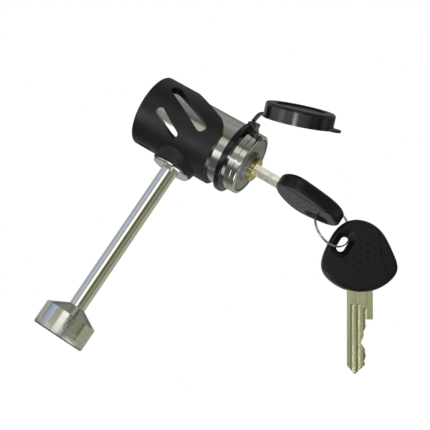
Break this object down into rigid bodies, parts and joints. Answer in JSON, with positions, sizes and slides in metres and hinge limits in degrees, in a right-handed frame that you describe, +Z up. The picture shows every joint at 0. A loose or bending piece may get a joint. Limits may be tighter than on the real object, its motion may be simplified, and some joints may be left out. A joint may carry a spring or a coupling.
{
  "type": "hitch pin lock",
  "caption": "Key-operated locking pin for a trailer hitch: headed steel pin, cylinder lock head in a rubber sleeve, hinged dust cap, keys on a split ring.",
  "frame": {"origin": "on the pin's axis, at the seat face of the flanged bush under the lock head", "axes": "+Z up the pin into the lock head, +X out of the key face, -Y towards the shown side"},
  "size_m": [0.1165, 0.0415, 0.1215],
  "materials": {
    "pin_steel": "polished steel",
    "polished_steel": "polished steel",
    "spring_steel": "plain steel",
    "brushed_stainless": "turned and brushed stainless steel",
    "zinc": "matt die-cast zinc",
    "brass": "machined brass",
    "nickel": "nickel-plated brass, milled",
    "sleeve_rubber": "satin moulded rubber",
    "black_rubber": "smooth moulded rubber",
    "bow_plastic": "satin moulded plastic with fine texture"
  },
  "bodies": {
    "pin": {"pin_rod": "pin_steel", "pin_head": "pin_steel"},
    "bush": {"flanged_bush": "polished_steel", "pin_seal": "black_rubber", "bush_clip": "spring_steel"},
    "head": {"lock_housing": "brushed_stainless", "front_bezel": "brushed_stainless", "rubber_sleeve": "sleeve_rubber", "core_shell": "zinc", "spring_cover": "brass", "driver_pins": "brass", "driver_springs": "spring_steel", "cap_strap": "black_rubber", "cap_tether": "black_rubber"},
    "plug": {"core_plug": "brass", "key_pins": "brass", "plug_clip": "spring_steel", "plug_cam": "zinc", "cam_screw": "spring_steel"},
    "slide": {"locking_slide": "spring_steel"},
    "key": {"key_blade": "nickel", "key_bow": "bow_plastic"},
    "ring": {"split_ring": "spring_steel"},
    "spare": {"spare_key_blade": "nickel", "spare_key_bow": "bow_plastic"},
    "cap": {"dust_cap": "black_rubber"}
  },
  "joints": [
    {"name": "head_lift", "type": "slide", "parent": "pin", "child": "bush", "axis": [0, 0, 1], "range_m": [0, 0.085]},
    {"name": "head_swivel", "type": "hinge", "parent": "bush", "child": "head", "pos_m": [0, 0, 0.01], "axis": [0, 0, 1], "continuous": true},
    {"name": "key_turn", "type": "hinge", "parent": "head", "child": "plug", "pos_m": [0, 0, 0.01608], "axis": [1, 0, 0], "range_deg": [-90, 0]},
    {"name": "bolt_slide", "type": "slide", "parent": "head", "child": "slide", "axis": [0, 1, 0], "range_m": [-0.003, 0]},
    {"name": "key_pull", "type": "slide", "parent": "plug", "child": "key", "axis": [1, 0, 0], "range_m": [0, 0.03]},
    {"name": "ring_swing", "type": "hinge", "parent": "key", "child": "ring", "pos_m": [0.05469, 0.00551, 0.01608], "axis": [0.001, 0.5644, 0.8255], "range_deg": [-15, 15]},
    {"name": "spare_swing", "type": "hinge", "parent": "ring", "child": "spare", "pos_m": [0.06867, 0.01012, 0.01023], "axis": [-0.247, -0.6461, -0.7221], "range_deg": [-4, 4]},
    {"name": "cap_flip", "type": "hinge", "parent": "head", "child": "cap", "pos_m": [0.01968, -0.00744, 0.03073], "axis": [0, -0.8816, -0.4719], "range_deg": [-18, 50], "deforming": ["cap_tether"]}
  ],
  "couplings": [
    {"joint": "bolt_slide", "follows": "key_turn", "m_per_rad": 0.0019098}
  ]
}
